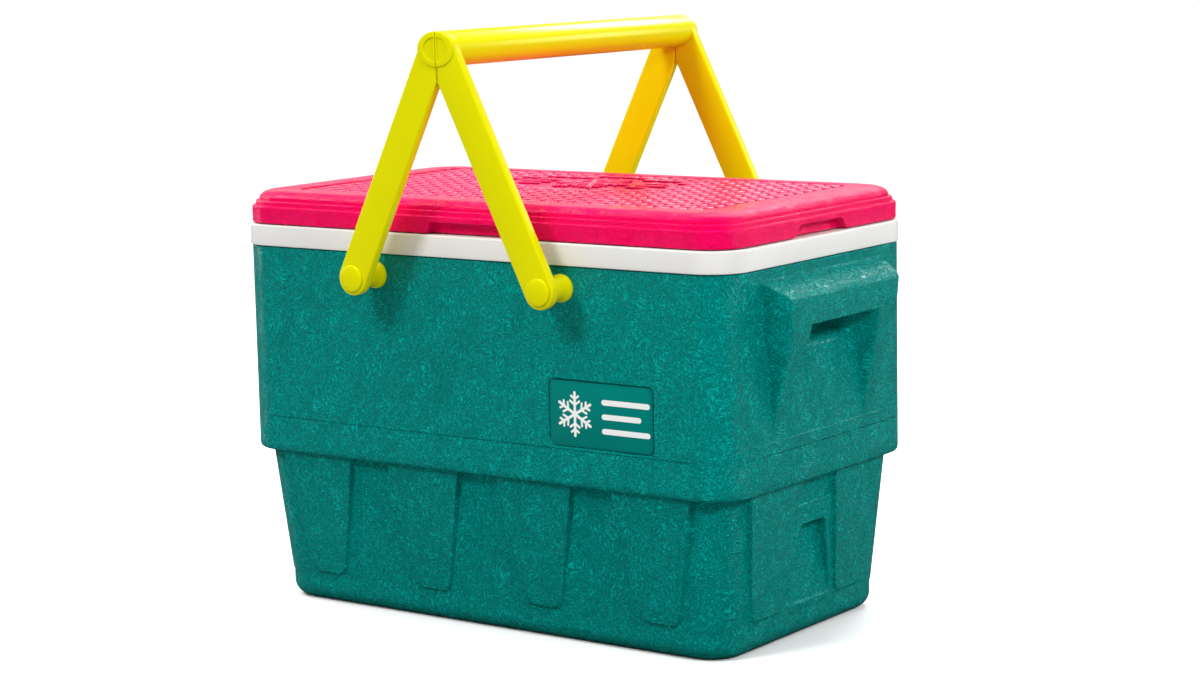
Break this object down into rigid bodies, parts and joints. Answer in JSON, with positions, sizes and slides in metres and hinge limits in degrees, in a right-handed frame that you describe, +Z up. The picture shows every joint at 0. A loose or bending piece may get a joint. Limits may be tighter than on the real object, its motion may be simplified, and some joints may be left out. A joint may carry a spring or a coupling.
{
  "type": "insulated picnic chest",
  "caption": "Insulated picnic chest: stepped hollow body with moulded end grips, white cavity liner and rim, lift-off lid, and two hinged bail handles that close into one grip.",
  "frame": {"origin": "centre of the flat underside, on the ground", "axes": "+X along the long side, to the right seen from the front, -Y the front with the maker's plate, +Z up"},
  "size_m": [0.5196, 0.3318, 0.4709],
  "materials": {
    "teal_shell": "leather-grained moulded polyethylene",
    "teal_plate": "satin moulded plate with a white printed device",
    "white_liner": "satin white moulded polypropylene",
    "magenta_lid": "leather-grained moulded polyethylene",
    "yellow_handle": "satin-gloss moulded nylon",
    "foam": "closed-cell polyurethane foam, light and sealed inside",
    "washer_steel": "zinc-plated"
  },
  "bodies": {
    "chest": {"outer_shell": "teal_shell", "insulation_foam": "foam", "cavity_liner": "white_liner", "maker_plate": "teal_plate", "boss_front_left": "yellow_handle", "boss_front_right": "yellow_handle", "boss_back_left": "yellow_handle", "boss_back_right": "yellow_handle", "pin_front_left": "yellow_handle", "pin_front_right": "yellow_handle", "pin_back_left": "yellow_handle", "pin_back_right": "yellow_handle", "washer_front_left": "washer_steel", "washer_front_right": "washer_steel", "washer_back_left": "washer_steel", "washer_back_right": "washer_steel"},
    "lid": {"lid_shell": "magenta_lid", "lid_foam": "foam", "lid_liner": "white_liner"},
    "left_handle": {"left_bail": "yellow_handle"},
    "right_handle": {"right_bail": "yellow_handle"}
  },
  "joints": [
    {"name": "lid_lift", "type": "slide", "parent": "chest", "child": "lid", "axis": [0, 0, 1], "range_m": [0, 0.09]},
    {"name": "left_handle_swing", "type": "hinge", "parent": "chest", "child": "left_handle", "pos_m": [-0.091, 0, 0.2784], "axis": [0, -1, 0], "range_deg": [0, 151]},
    {"name": "right_handle_swing", "type": "hinge", "parent": "chest", "child": "right_handle", "pos_m": [0.091, 0, 0.2784], "axis": [0, 1, 0], "range_deg": [0, 151]}
  ]
}
